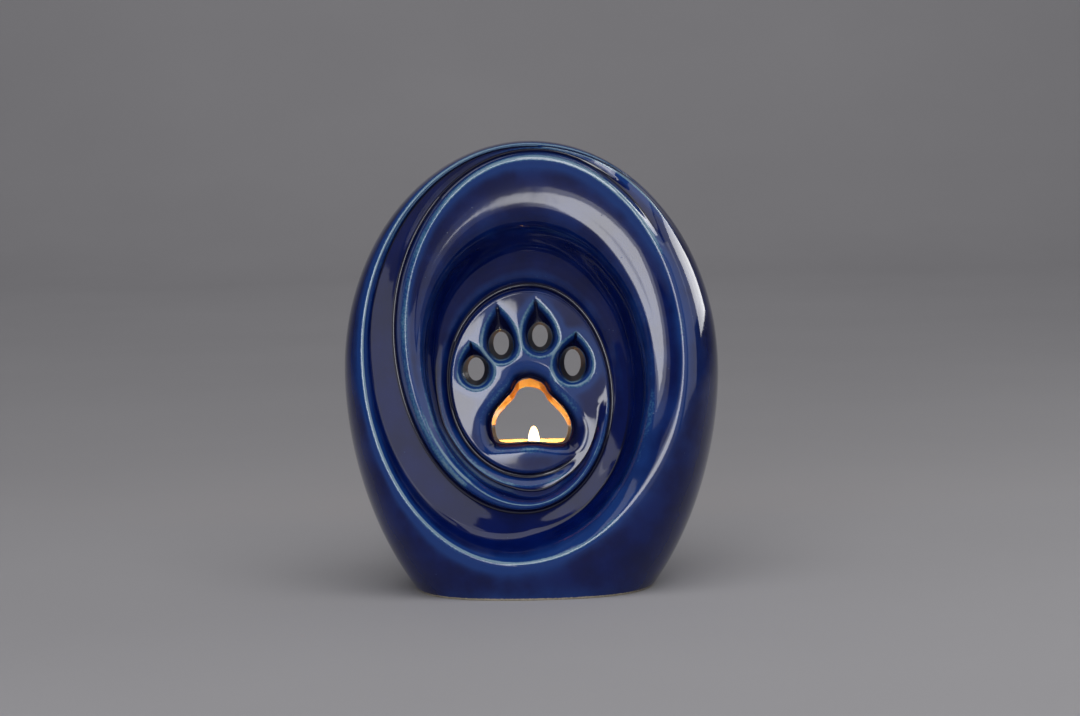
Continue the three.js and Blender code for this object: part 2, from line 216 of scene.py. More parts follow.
# Colours, and how sharply an edge turns (one over its radius in millimetres) where each colour comes in
DEEP_BLUE = (0.001, 0.006, 0.075)
BODY_BLUE = (0.002, 0.011, 0.12)
ROYAL_BLUE = (0.01, 0.05, 0.24)
TEAL = (0.05, 0.17, 0.34)
# The next colour is glaze breaking pale on the sharpest edges, with a painted highlight along them
PALE_AQUA_AND_HIGHLIGHT = (0.21, 0.34, 0.47)
# The next colour is dark glaze pooled in creases and hollows, with painted shade there too
POOL_AND_SHADE_BLUE = (0.002, 0.003, 0.03)
SPECK_BLUE = (0.12, 0.2, 0.42)
# Painted shade for the dark walls of the holes
HOLE_SHADE_DARK = (0.018, 0.016, 0.02)
HOLE_SHADE_PALE = (0.03, 0.027, 0.032)
# Clay colour with painted orange candlelight, for the upper wall of the pad's hole
CANDLELIT_CLAY_DARK = (0.28, 0.12, 0.012)
CANDLELIT_CLAY_PALE = (0.36, 0.16, 0.018)
CLAY_DARK = (0.42, 0.36, 0.26)
CLAY_PALE = (0.6, 0.54, 0.42)
HALO_RANGE = (0.02, 0.12)
TEAL_RANGE = (0.17, 0.34)
PALE_RANGE = (0.26, 0.5)
POOL_AND_SHADE_RANGE = (0.1, 0.5)
EDGE_GRAIN = 0.05
EDGE_MOTTLE = 0.05
FLOOR_DARK = (0.52, 0.51, 0.53)
FLOOR_PALE = (0.58, 0.57, 0.59)

# The flame
FLAME_X = 0.5
FLAME_Y = 21.5
FLAME_FOOT = 66.3
FLAME_WIDEST = 71.5
FLAME_TIP = 80.2
FLAME_WIDTH = 5.9
FLAME_STRENGTH = 5
GLOW_WATTS = 0.5
GLOW_HEIGHT = 78
GLOW_RADIUS = 3
GLOW_COLOUR = (1, 0.5, 0.12)

# The stage and its light, in metres and watts. A soft box: name, place, target, width, height, power, and
# whether it lights surfaces, shines in the glaze, or both
FLOOR_REACH = 6
FLOOR_BACK = 2.5
SWEEP = 1.5
BACKDROP_HEIGHT = 2
WORLD_COLOUR = (0.5, 0.5, 0.53)
WORLD_STRENGTH = 0.2
SOFT_BOXES = [
    ("front_box", (-0.2, -2.3, 0.5), (0, 0, 0.3), 2.6, 1.0, 6, "both"),
    ("fill_box", (-0.4, -2.2, 0.5), (0, 0, 0.2), 1.4, 1.0, 8, "lights"),
    ("low_window", (-0.41, -1.52, 0.37), (0, 0, 0.2), 0.6, 0.72, 3, "shines"),
    ("key_box", (-0.45, -2.2, 0.6), (0, 0, 0.2), 0.7, 1.1, 15, "shines"),
    ("left_high_box", (-1.13, -1.09, 1.3), (0, 0, 0.1), 0.8, 0.6, 2, "shines"),
    ("right_front_box", (1.7, -1.3, 0.78), (0, 0, 0.2), 1.8, 1.9, 12.5, "shines"),
    ("top_box", (0.1, -0.8, 1.7), (0, 0, 0.1), 2.2, 1.4, 14, "both"),
    ("right_box", (1.22, 0.11, 0.86), (0, 0, 0.12), 1.2, 1.1, 4, "shines"),
    ("right_strip", (1.02, 0.48, 0.65), (0, 0, 0.12), 0.8, 0.9, 14, "shines"),
    ("back_box", (0, 1.6, 2.6), (0, 4, 0.7), 2.5, 0.8, 13.5, "both"),
]

# The camera, fitted to the photo's frame of 1080 by 716 pixels; target in millimetres
CAMERA_SENSOR = 36
CAMERA_LENS = 85
CAMERA_ELEVATION = 5.5
CAMERA_ROLL = 1.05
CAMERA_TARGET = (4.5, 0, 118.1)
CAMERA_DISTANCE = 1315.8


def mix(a, b, f):
    return a + (b - a) * f


def smooth(start, end, value):
    f = np.clip((value - start) / (end - start), 0, 1)
    return f * f * (3 - 2 * f)


def signed_power(value, power):
    return np.sign(value) * np.abs(value) ** power


def hinge(value, softness):
    """The value where it is positive, else nothing, with a soft turn between."""
    return (value + np.sqrt(value**2 + softness**2)) / 2


def smooth_run(a, b, c, d, f):
    """A smooth run from b to c, between a before them and d after them."""
    return b + 0.5 * f * (c - a + f * (2 * a - 5 * b + 4 * c - d + f * (3 * (b - c) + d - a)))


def glide(values, t):
    """A smooth run through evenly spaced values."""
    ends = [2 * values[0] - values[1]], values, [2 * values[-1] - values[-2]]
    padded = np.concatenate(ends)
    k = np.clip(np.floor(t).astype(int), 0, len(values) - 2)
    return smooth_run(*(padded[k + i] for i in range(4)), t - k)


# Surfaces of the front


def lean_at(z):
    return LEAN * (z - WIDEST)


def equator(t):
    """The egg's widest line at t quarter turns from the right."""
    angle = t * math.pi / 2
    c = np.cos(angle)
    s = np.sin(angle)
    power = 2 / LOWER_POWER
    x = HALF_WIDTH * np.where(s >= 0, c, signed_power(c, power))
    z = WIDEST + np.where(s >= 0, (HEIGHT - WIDEST) * s, LOWER_REACH * signed_power(s, power))
    return np.stack([x, 0 * x, z], -1)


def ridge(t):
    """The ridge at t quarter turns, in quarter ellipses through its outermost points."""
    k = np.minimum(np.floor(t).astype(int), TURNS - 1)
    angle = (t - k) * math.pi / 2
    x0, z0 = RIDGE[k, 0], RIDGE[k, 1]
    x1, z1 = RIDGE[k + 1, 0], RIDGE[k + 1, 1]
    across = k % 2 == 0
    x = np.where(across, mix(x1, x0, np.cos(angle)), mix(x0, x1, np.sin(angle)))
    z = np.where(across, mix(z0, z1, np.sin(angle)), mix(z1, z0, np.cos(angle)))
    side = equator(t)
    free = smooth(*RIDGE_START, t)
    x = mix(side[..., 0], x, free)
    z = mix(side[..., 2], z, free)
    return np.stack([x, glide(RIDGE[:, 2], t) + lean_at(z), z], -1)


def s_run(start, end, lead, tail, u):
    """An S-shaped run between two points given as distance, depth and slope."""
    v = 1 - u
    weights = v**3, 3 * v * v * u, 3 * v * u * u, u**3
    distances = start[0], start[0] + lead, end[0] - tail, end[0]
    depths = start[1], start[1] + lead * start[2], end[1] - tail * end[2], end[1]
    return [sum(w * value for w, value in zip(weights, values)) for values in (distances, depths)]


def handle(rise, radius, most):
    return np.minimum(np.sqrt(2 / 3 * np.abs(rise) * radius), most)


def bowl_section(t, length, outer_depth, inner_depth, u):
    """Distance across and depth of a section across the bowl, from one turn of the ridge to the next."""
    band, fall, tilt, steep, slope, step, wall, rise = (glide(SECTIONS[:, i], t - 4) for i in range(8))
    fade = 1 - smooth(*CREASE_END, t)
    rise = rise * fade
    step = step * fade
    wall_run = np.minimum(wall, WALL_MOST * length)
    crease_at = length - wall_run
    step_run = np.minimum(STEP_WIDTH, STEP_MOST * crease_at)
    shoulder_at = crease_at - step_run
    floor_at = np.minimum(steep, FLOOR_MOST * shoulder_at)
    band_at = np.minimum(band, BAND_MOST * floor_at)
    dish_run = floor_at - band_at
    band_depth = outer_depth + fall
    crease_depth = inner_depth + rise
    shoulder_depth = crease_depth - np.maximum(step, slope * step_run)
    floor_depth = shoulder_depth - slope * (shoulder_at - floor_at)
    crest = 0, outer_depth, 0
    edge = band_at, band_depth, tilt
    floor = floor_at, floor_depth, slope
    shoulder = shoulder_at, shoulder_depth, slope
    crease = crease_at, crease_depth, 0
    inner = length, inner_depth, 0
    drop = np.maximum(step, 1)
    third = (shoulder_at - floor_at) / 3
    step_most = ROUND_MOST * step_run
    crest_most = CREST_MOST * wall_run
    ends = [(crest, edge), (edge, floor), (floor, shoulder), (shoulder, crease), (crease, inner)]
    handles = [
        (handle(fall, RIDGE_RADIUS, ROUND_MOST * band_at), BAND_TAIL * band_at),
        (handle(floor_depth - band_depth, BAND_RADIUS, ROUND_MOST * dish_run), FLOOR_TAIL * dish_run),
        (third, third),
        (handle(drop, SHOULDER_RADIUS, step_most), handle(drop, CREASE_RADIUS, step_most)),
        (handle(rise, CREASE_RADIUS, CREASE_MOST * wall_run), handle(rise, RIDGE_RADIUS, crest_most)),
    ]
    breaks = 0, *SECTION_BREAKS, 1
    distance = 0
    depth = 0
    for (start, end), (lead, tail), low, high in zip(ends, handles, breaks, breaks[1:]):
        past = u >= low
        d, y = s_run(start, end, lead, tail, (u - low) / (high - low))
        distance = np.where(past, d, distance)
        depth = np.where(past, y, depth)
    return distance, depth


def front_points(t, u):
    """The front at t quarter turns along the spiral strip, by u across it to the ridge at t."""
    inner = ridge(t)[:, None, :]
    outer = np.where(t[:, None] < 4, equator(t), ridge(np.maximum(t - 4, 0)))[:, None, :]
    t = t[:, None]
    u = u[None, :]
    angle = u * math.pi / 2
    creased = smooth(*CREASE_START, np.where(t < 4, t + 4, t))
    bent = np.where(t < 4, creased, 1)
    across = mix(u, 1 - np.cos(angle), bent)[..., None]
    along = mix(u, np.sin(angle), bent)[..., None]
    convex = np.concatenate([
        mix(outer[..., :1], inner[..., :1], across),
        mix(outer[..., 1:2], inner[..., 1:2], along),
        mix(outer[..., 2:], inner[..., 2:], across),
    ], -1)
    length = np.maximum(np.hypot(inner[..., 0] - outer[..., 0], inner[..., 2] - outer[..., 2]), 1e-6)
    outer_depth = outer[..., 1] - lean_at(outer[..., 2])
    inner_depth = inner[..., 1] - lean_at(inner[..., 2])
    distance, depth = bowl_section(np.maximum(t, 4), length, outer_depth, inner_depth, u)
    share = distance / length
    x = mix(outer[..., 0], inner[..., 0], share)
    z = mix(outer[..., 2], inner[..., 2], share)
    carved = np.stack([x, depth + lean_at(z), z], -1)
    return mix(convex, carved, np.where(t < 4, 0, creased)[..., None])


def plate_front(z):
    return PLATE_DEPTH + lean_at(z)


def plate_back(z):
    return plate_front(z) + PLATE_THICKNESS


# The paw's holes and the hollows round them: outlines as a reach in each direction from the centre, and the
# depth that each hollow is pressed into the plate


def toe_shape(toe):
    x, z, half_width, half_height, dish, tip_x, tip_z = toe
    height = math.hypot(tip_x, tip_z)
    tip = math.atan2(tip_z, tip_x)

    def hole(angle):
        return 1 / np.hypot(np.cos(angle) / half_width, np.sin(angle) / half_height)

    def hollow(angle):
        """Round below, and a pointed arch up to the tip."""
        along = np.cos(angle - tip)
        across = np.abs(np.sin(angle - tip))
        arched = 2 * dish / (across + np.hypot(across, 2 * dish / height * along))
        return np.where(along > 0, arched, dish)

    def depth(px, pz):
        """Deeper with the distance from the outline, down to the depth of the hole's edge."""
        along = ((px - x) * tip_x + (pz - z) * tip_z) / height
        across = np.abs((px - x) * tip_z - (pz - z) * tip_x) / height
        gap = dish * (1 - (along / height) ** 2) - across
        arched = gap / np.hypot(1, 2 * dish * along / height**2)
        inside = np.where(along > 0, arched, dish - np.hypot(across, along))
        fall = TOE_SLOPE * inside
        return fall - hinge(fall - TOE_DEPTH, HOLLOW_SOFT)

    return np.array([x, z]), tip, hole, hollow, TOE_TAPER, depth


def pad_shape():
    count = len(PAD)
    steps = np.arange(0, count, PAD_STEP)
    k = np.floor(steps).astype(int)
    corners = (PAD[(k + i) % count] for i in range(-1, 3))
    offset = smooth_run(*corners, (steps - k)[:, None]) - PAD_CENTRE
    angles = np.arctan2(offset[:, 1], offset[:, 0])
    order = np.argsort(angles)

    def hole(angle):
        return np.interp(angle, angles[order], np.hypot(*offset.T)[order], period=2 * math.pi)

    def hollow(angle):
        return PAD_DISH * hole(angle)

    def depth(px, pz):
        """Rolls over into the hole."""
        dx = px - PAD_CENTRE[0]
        dz = pz - PAD_CENTRE[1]
        reach = hole(np.arctan2(dz, dx))
        share = (PAD_DISH - np.hypot(dx, dz) / reach) / (PAD_DISH - 1)
        return PAD_DEPTH * np.where(share > 0, np.clip(share, 0, 1) ** PAD_ROLL, share)

    return PAD_CENTRE, math.pi / 2, hole, hollow, PAD_TAPER, depth


PAW = [toe_shape(toe) for toe in TOES] + [pad_shape()]


def hollow_depth(x, z):
    return hinge(np.max([depth(x, z) for *_, depth in PAW], axis=0), HOLLOW_EDGE)


def carve(points):
    """Presses the paw's hollows into points of the front."""
    x, y, z = points[..., 0], points[..., 1], points[..., 2]
    return np.stack([x, y + hollow_depth(x, z), z], -1)


# Patches: arrays of points with faces. Each point is marked with how far it is clay in painted candlelight in
# the wall of the pad's hole, dark wall of a toe's hole in painted shade, glaze pooled deep in a hollow with
# painted shade, bare pale clay, or an edge that stays blue

MARKS = "warm", "dull", "deep", "bare", "blue"


class Skin:
    """Collects patches and welds them into one mesh."""

    def __init__(self):
        self.points = []
        self.marks = []
        self.faces = []
        self.count = 0

    def add(self, points, faces, **marks):
        points = np.asarray(points, float).reshape(-1, 3)
        values = np.zeros((len(points), len(MARKS)))
        for name, value in marks.items():
            values[:, MARKS.index(name)] = np.asarray(value, float).reshape(-1)
        self.points.append(points)
        self.marks.append(values)
        self.faces += [tuple(self.count + i for i in face) for face in faces]
        self.count += len(points)

    def grid(self, points, closed=False, flip=False, **marks):
        """A patch of rows of points; a closed one joins its last row to its first."""
        rows, columns = points.shape[:2]
        i = np.arange(rows if closed else rows - 1)[:, None]
        j = np.arange(columns - 1)[None, :]
        after = (i + 1) % rows
        corners = [i * columns + j, after * columns + j, after * columns + j + 1, i * columns + j + 1]
        faces = np.stack([c + 0 * (i + j) for c in corners], -1).reshape(-1, 4)
        if flip:
            faces = faces[:, ::-1]
        spread = {name: np.broadcast_to(value, (rows, columns)) for name, value in marks.items()}
        self.add(points, faces.tolist(), **spread)

    def weld(self):
        points = np.concatenate(self.points).astype(np.float32)
        marks = np.concatenate(self.marks)
        keys = np.round(points * WELD_STEPS).astype(np.int64)
        _, first, places = np.unique(keys, axis=0, return_index=True, return_inverse=True)
        places = places.reshape(-1)
        faces = []
        for face in self.faces:
            ids = [places[i] for i in face]
            kept = [a for a, b in zip(ids, ids[1:] + ids[:1]) if a != b]
            if len(set(kept)) == len(kept) and len(kept) > 2:
                faces.append(kept)
        return points[first], marks[first], faces


def inside(loop, points):
    """Which points lie inside a closed loop, both over (x, z)."""
    a = loop[None]
    b = np.roll(loop, -1, 0)[None]
    p = points[:, None]
    crosses = (a[..., 1] > p[..., 1]) != (b[..., 1] > p[..., 1])
    rise = np.where(b[..., 1] == a[..., 1], 1, b[..., 1] - a[..., 1])
    at = a[..., 0] + (p[..., 1] - a[..., 1]) / rise * (b[..., 0] - a[..., 0])
    return (crosses & (p[..., 0] < at)).sum(1) % 2 == 1


def away_from(loop, points):
    """Distance of points from a closed loop, both over (x, z)."""
    nearest = np.full(len(points), np.inf)
    for a, b in zip(loop, np.roll(loop, -1, 0)):
        along = b - a
        f = np.clip((points - a) @ along / max(along @ along, 1e-12), 0, 1)
        nearest = np.minimum(nearest, np.hypot(*(points - a - f[:, None] * along).T))
    return nearest


def fill_between(outer, holes, extra):
    """Triangles over (x, z) between an outer loop and the loops of its holes, through extra points."""
    loops = [outer, *holes]
    flat = np.concatenate([*loops, extra])
    edges = []
    start = 0
    for loop in loops:
        count = len(loop)
        edges += [(start + i, start + (i + 1) % count) for i in range(count)]
        start += count
    made = delaunay_2d_cdt([Vector(p) for p in flat], edges, [], 0, 1e-5)
    sources = [ids[0] for ids in made[3]]
    faces = np.array([[sources[i] for i in face] for face in made[2]])
    a, b, c = (flat[faces[:, i]] for i in range(3))
    middles = (a + b + c) / 3
    kept = inside(outer, middles)
    for hole in holes:
        kept &= ~inside(hole, middles)
    turn = (b - a)[:, 0] * (c - a)[:, 1] - (b - a)[:, 1] * (c - a)[:, 0]
    faces = np.where((turn > 0)[:, None], faces, faces[:, ::-1])
    return flat, faces[kept & (np.abs(turn) > 1e-9)]


def hex_points(low, high, spacing):
    """An even spread of points over a rectangle."""
    rise = spacing * math.sqrt(3) / 2
    rows = np.arange(low[1], high[1], rise)
    points = []
    for i, z in enumerate(rows):
        x = np.arange(low[0] + (i % 2) * spacing / 2, high[0], spacing)
        points.append(np.stack([x, np.full(len(x), z)], -1))
    return np.concatenate(points)


# The paw plate


def hole_angles(tip, hollow):
    """Directions that space points evenly along a hollow's outline, from its tip on."""
    angle = tip + np.linspace(0, 2 * math.pi, 4000)
    outline = hollow(angle)[:, None] * np.stack([np.cos(angle), np.sin(angle)], -1)
    run = np.concatenate([[0], np.cumsum(np.hypot(*np.diff(outline, axis=0).T))])
    return np.interp(np.arange(DISH_SIDES) / DISH_SIDES * run[-1], run, angle)


def around(centre, angle, reach):
    return centre + np.stack([reach * np.cos(angle), reach * np.sin(angle)], -1)


def lifted(flat, y):
    return np.stack([flat[..., 0], y, flat[..., 1]], -1)


def plate_rise(flat, rim3):
    """How far the plate stands out of its plane: it bulges, and it flows into its rim."""
    rim = rim3[:, [0, 2]]
    step = rim3[:, 1] - plate_front(rim3[:, 2])
    run = np.hypot(*(np.roll(rim, -1, 0) - np.roll(rim, 1, 0)).T) / 2
    away = np.maximum(np.hypot(*(flat[:, None] - rim[None]).transpose(2, 0, 1)), NEAREST)
    near = run / away**2
    flow = near @ step / (near.sum(1) + math.pi / PLATE_FLOW)
    nearer = (near / away).sum(1)
    return flow - PLATE_BULGE * (1 - nearer / (nearer + 2 / PLATE_SWELL**2))


def plate_points(rim, holes):
    """Points of the plate's front between its rim and its holes: rings round each hole, then a spread."""
    kept = np.zeros((0, 2))
    for centre, tip, hole, hollow, _, own_depth in PAW:
        angle = hole_angles(tip, hollow)
        inner = hole(angle)
        outer = hollow(angle)
        shares = np.arange(1, DISH_RINGS + 1) / DISH_RINGS
        rings = [around(centre, angle, mix(inner, outer, share)) for share in shares]
        rings += [around(centre, angle, outer + gap) for gap in HOLLOW_RINGS]
        points = np.concatenate(rings)
        own = own_depth(*points.T)
        for *_, other_depth in PAW:
            if other_depth is not own_depth:
                free = other_depth(*points.T) <= np.maximum(own, HOLLOW_OVERLAP)
                points = points[free]
                own = own[free]
        if len(kept):
            gaps = np.hypot(*(points[:, None] - kept[None]).transpose(2, 0, 1)).min(1)
            points = points[gaps > RING_GAP]
        kept = np.concatenate([kept, points])
    spread = hex_points(rim.min(0), rim.max(0), PLATE_SPACING)
    for centre, _, _, hollow, *_ in PAW:
        angle = np.arctan2(spread[:, 1] - centre[1], spread[:, 0] - centre[0])
        outside = np.hypot(*(spread - centre).T) > hollow(angle) + HOLLOW_CLEAR
        spread = spread[outside]
    points = np.concatenate([kept, spread])
    points = points[inside(rim, points)]
    points = points[away_from(rim, points) > RIM_RINGS[-1] + RIM_CLEAR]
    along = np.roll(rim, -1, 0) - np.roll(rim, 1, 0)
    inward = along[:, ::-1] * [-1, 1] / np.hypot(*along.T)[:, None]
    for gap in RIM_RINGS:
        ring = rim + gap * inward
        ring = ring[inside(rim, ring)]
        points = np.concatenate([points, ring[away_from(rim, ring) > RING_SHARE * gap]])
    for hole in holes:
        points = points[~inside(hole, points)]
        points = points[away_from(hole, points) > HOLE_CLEAR]
    return points


def near_rim(flat, rim):
    return 1 - smooth(RIM_BLUE / 2, RIM_BLUE, away_from(rim, flat))


def bend(a, corner, b, steps=BEND_STEPS):
    """Rings of a rounded corner from ring a to ring b."""
    f = np.linspace(0, 1, steps + 1)
    return [mix(mix(a, corner, v), mix(corner, b, v), v) for v in f]


def add_plate(skin, rim3, plain_rim3, niche_floor_ring):
    """The plate's front, the walls of its holes, and its back inside the niche."""
    rim = rim3[:, [0, 2]]
    fronts = []
    backs = []
    for centre, tip, hole, hollow, taper, _ in PAW:
        angle = hole_angles(tip, hollow)
        edge = around(centre, angle, hole(angle))
        fronts.append(edge)
        scale = np.array(taper[:2])
        over = centre + [0, taper[2]]
        backs.append(over + (edge - over) * scale)
    extra = plate_points(rim, fronts)
    flat, faces = fill_between(rim, fronts, extra)
    y = plate_front(flat[:, 1]) + plate_rise(flat, plain_rim3)
    points = carve(lifted(flat, y))
    points[: len(rim)] = rim3
    # Darker deep in the hollows: pooled glaze with painted shade
    deep = smooth(*DEEP_RANGE, hollow_depth(*flat.T))
    skin.add(points, faces.tolist(), deep=deep, blue=near_rim(flat, rim))
    start = len(rim)
    niche_holes = []
    for front, back, (centre, _, _, _, taper, _) in zip(fronts, backs, PAW):
        edge = points[start : start + len(front)]
        start += len(front)
        deep = lifted(back, plate_back(back[:, 1]) - HOLE_ROUND)
        corner = lifted(back, plate_back(back[:, 1]))
        outward = (back - centre) / np.hypot(*(back - centre).T)[:, None]
        spread = back + HOLE_ROUND * outward
        last = lifted(spread, plate_back(spread[:, 1]))
        rings = [mix(edge, deep, f) for f in np.linspace(0, 1, WALL_RINGS)[:-1]] + bend(deep, corner, last)
        reached = np.clip(np.arange(len(rings)) / 2, 0, 1)
        # Painted candlelight on the clay up the pad's wall, where the flame lights it, and painted shade on
        # the rest of each hole's wall
        candlelit = smooth(*PAD_CANDLELIT, front[:, 1:]) if taper is PAD_TAPER else 0
        dull = (1 - candlelit) * reached
        skin.grid(np.stack(rings, 1), closed=True, warm=candlelit * reached, dull=dull, blue=reached)
        niche_holes.append(spread)
    ring = niche_floor_ring[:, [0, 2]]
    grid = hex_points(ring.min(0), ring.max(0), COARSE_SPACING)
    grid = grid[inside(ring, grid) & (away_from(ring, grid) > COARSE_CLEAR)]
    for hole in niche_holes:
        grid = grid[~inside(hole, grid) & (away_from(hole, grid) > NICHE_CLEAR)]
    flat, faces = fill_between(ring, niche_holes, grid)
    skin.add(lifted(flat, plate_back(flat[:, 1])), faces[:, ::-1].tolist(), blue=1)


# The back


def arch(low, margin):
    """The niche's outline over (x, z), wider by margin, down to its floor or its sill."""
    reach = NICHE_HALF_WIDTH + margin
    corner = NICHE_CORNER + margin
    turn = np.linspace(0, math.pi / 2, CORNER_STEPS)
    low_z = low - margin + corner
    right = np.stack([reach - corner + corner * np.cos(turn), low_z - corner * np.sin(turn)], -1)
    left = (right * [-1, 1])[::-1]
    angle = np.linspace(math.pi, 0, ARCH_STEPS)
    top = NICHE_TOP - NICHE_MIDDLE + margin
    x = reach * signed_power(np.cos(angle), 2 / ARCH_POWER)
    z = NICHE_MIDDLE + top * signed_power(np.abs(np.sin(angle)), 2 / ARCH_POWER)
    return np.concatenate([right, left, np.stack([x, z], -1)])


def cross(a, b):
    return a[..., 0] * b[..., 1] - a[..., 1] * b[..., 0]


def reach_to(outline, directions):
    """How far each ray from the egg's middle goes before it meets an outline round it."""
    a = (outline - MIDDLE)[None]
    e = (np.roll(outline, -1, 0) - outline)[None]
    d = directions[:, None]
    turn = cross(d, e)
    turn = np.where(np.abs(turn) < 1e-12, 1e-12, turn)
    along = cross(a, d) / turn
    reach = cross(a, e) / turn
    hit = (along >= -1e-9) & (along <= 1 + 1e-9) & (reach > 0)
    return np.where(hit, reach, 0).max(1)


def dome_depth(share, depth):
    return depth * np.maximum(1 - share**BACK_POWER, 0) ** (1 / BACK_POWER)


def ring_at(directions, reach, y):
    flat = MIDDLE + directions * reach[:, None]
    return lifted(flat, y + 0 * reach)


def add_back(skin, outer_skin):
    """The back of the egg to its window, then the window's edge, the sill and the niche."""
    t = np.arange(4 * QUARTER) / QUARTER
    edge = equator(t)[:, [0, 2]] - MIDDLE
    size = np.hypot(*edge.T)
    directions = edge / size[:, None]
    brim = reach_to(arch(SILL_HEIGHT, WINDOW_ROUND), directions)
    last = np.arccos(np.clip((brim / size) ** (BACK_POWER / 2), 0, 1))
    angles = last[:, None] * np.linspace(0, 1, DOME_ROWS)
    share = np.cos(angles) ** (2 / BACK_POWER)
    depth = BACK_DEPTH * np.sin(angles) ** (2 / BACK_POWER)
    flat = MIDDLE + share[..., None] * edge[:, None]
    dome = lifted(flat, depth)
    outer_skin.grid(dome, closed=True, flip=True)

    window = reach_to(arch(SILL_HEIGHT, 0), directions)
    floor = reach_to(arch(NICHE_FLOOR, 0), directions)
    lip = ring_at(directions, window, dome_depth(window / size, BACK_DEPTH))
    throat = ring_at(directions, window, lip[:, 1] - WINDOW_ROUND)
    rings = bend(dome[:, -1], lip, throat)
    bare = [0] * len(rings)
    sill_end = ring_at(directions, window, SILL_FRONT + SILL_ROUND)
    rings += [mix(throat, sill_end, f) for f in (0.25, 0.5, 0.75)]
    bare += [0.35, 0.7, 1]
    drop = np.minimum(SILL_ROUND, floor - window)
    sill_face = ring_at(directions, window + drop, SILL_FRONT)
    rings += bend(sill_end, ring_at(directions, window, SILL_FRONT), sill_face)
    bare += [1] * (len(rings) - len(bare))
    foot = ring_at(directions, floor, SILL_FRONT)
    rings += [mix(sill_face, foot, f) for f in (0.34, 0.67, 1)]
    end = ring_at(directions, floor, 0)
    end[:, 1] = plate_back(end[:, 2])
    rings += [mix(foot, end, f) for f in np.linspace(0, 1, NICHE_ROWS)[1:]]
    bare += [0] * (len(rings) - len(bare))
    on_sill = lip[:, 2:] < SILL_HEIGHT + SILL_ROUND
    skin.grid(np.stack(rings, 1), closed=True, flip=True, bare=np.where(on_sill, bare, 0))
    return end


# The ash chamber and the base


def open_loop(bm, level):
    """The points of the open edge of a mesh at a level, in order."""
    after = {}
    for edge in bm.edges:
        a, b = edge.verts
        if edge.is_boundary and abs(a.co.z - level) + abs(b.co.z - level) < 1e-3:
            after.setdefault(a, []).append(b)
            after.setdefault(b, []).append(a)
    start = next(iter(after))
    loop = [start]
    last = None
    while True:
        onward = [v for v in after[loop[-1]] if v is not last]
        last = loop[-1]
        if onward[0] is start and len(loop) > 2:
            break
        loop.append(onward[0])
    return np.array([v.co for v in loop], float)


def cut_below(skin, level):
    """A skin's points and faces above a level, and the loop where it is cut."""
    points, _, faces = skin.weld()
    bm = bmesh.new()
    verts = [bm.verts.new(p) for p in points]
    for face in faces:
        bm.faces.new([verts[i] for i in face])
    geometry = [*bm.verts, *bm.edges, *bm.faces]
    bmesh.ops.bisect_plane(
        bm, geom=geometry, dist=1e-4, plane_co=(0, 0, level), plane_no=(0, 0, 1), clear_inner=True
    )
    bm.verts.index_update()
    co = np.array([v.co for v in bm.verts], float)
    cut = np.abs(co[:, 2] - level) < 1e-3
    co[cut, 2] = level
    for v, p in zip(bm.verts, co):
        v.co = p
    loop = open_loop(bm, level)
    kept = [[v.index for v in face.verts] for face in bm.faces]
    bm.free()
    return co, kept, loop


def make_chamber():
    """The space for ashes: a ring round the niche, a wall's thickness inside the egg and the bowl."""
    t = np.arange(4 * CHAMBER_QUARTER) / CHAMBER_QUARTER
    edge = equator(t)[:, [0, 2]] - MIDDLE
    size = np.hypot(*edge.T)
    directions = edge / size[:, None]
    outer = size - WALL
    inner = np.minimum(reach_to(arch(NICHE_FLOOR, WALL), directions), outer - 1)
    angles = np.arccos((inner / outer) ** (BACK_POWER / 2))[:, None] * np.linspace(0, 1, CHAMBER_ROWS)
    share = np.cos(angles) ** (2 / BACK_POWER)
    back_y = (BACK_DEPTH - WALL) * np.sin(angles) ** (2 / BACK_POWER)
    flat = MIDDLE + (share * outer[:, None])[..., None] * directions[:, None]
    columns = np.arange(TURNS * PROBE_QUARTER) / PROBE_QUARTER
    samples = front_points(columns, np.arange(PROBE_ROWS) / PROBE_ROWS).reshape(-1, 3)
    front_y = np.empty(back_y.shape)
    for place in np.ndindex(back_y.shape):
        x, z = flat[place]
        gap = WALL**2 - (samples[:, 0] - x) ** 2 - (samples[:, 2] - z) ** 2
        near = gap > 0
        deepest = (samples[near, 1] + np.sqrt(gap[near])).max() if near.any() else plate_back(z)
        front_y[place] = min(deepest, back_y[place] - CHAMBER_LEAST)
    front_y[:, 0] = 0
    back = lifted(flat, back_y)
    front = lifted(flat, front_y)
    skin = Skin()
    skin.grid(np.concatenate([back, front[:, ::-1]], 1), closed=True)
    return skin


def fill_circle(radius, z):
    angle = np.linspace(0, 2 * math.pi, FILL_SIDES, endpoint=False)
    return np.stack([radius * np.cos(angle), FILL_Y + radius * np.sin(angle), np.full(FILL_SIDES, z)], -1)


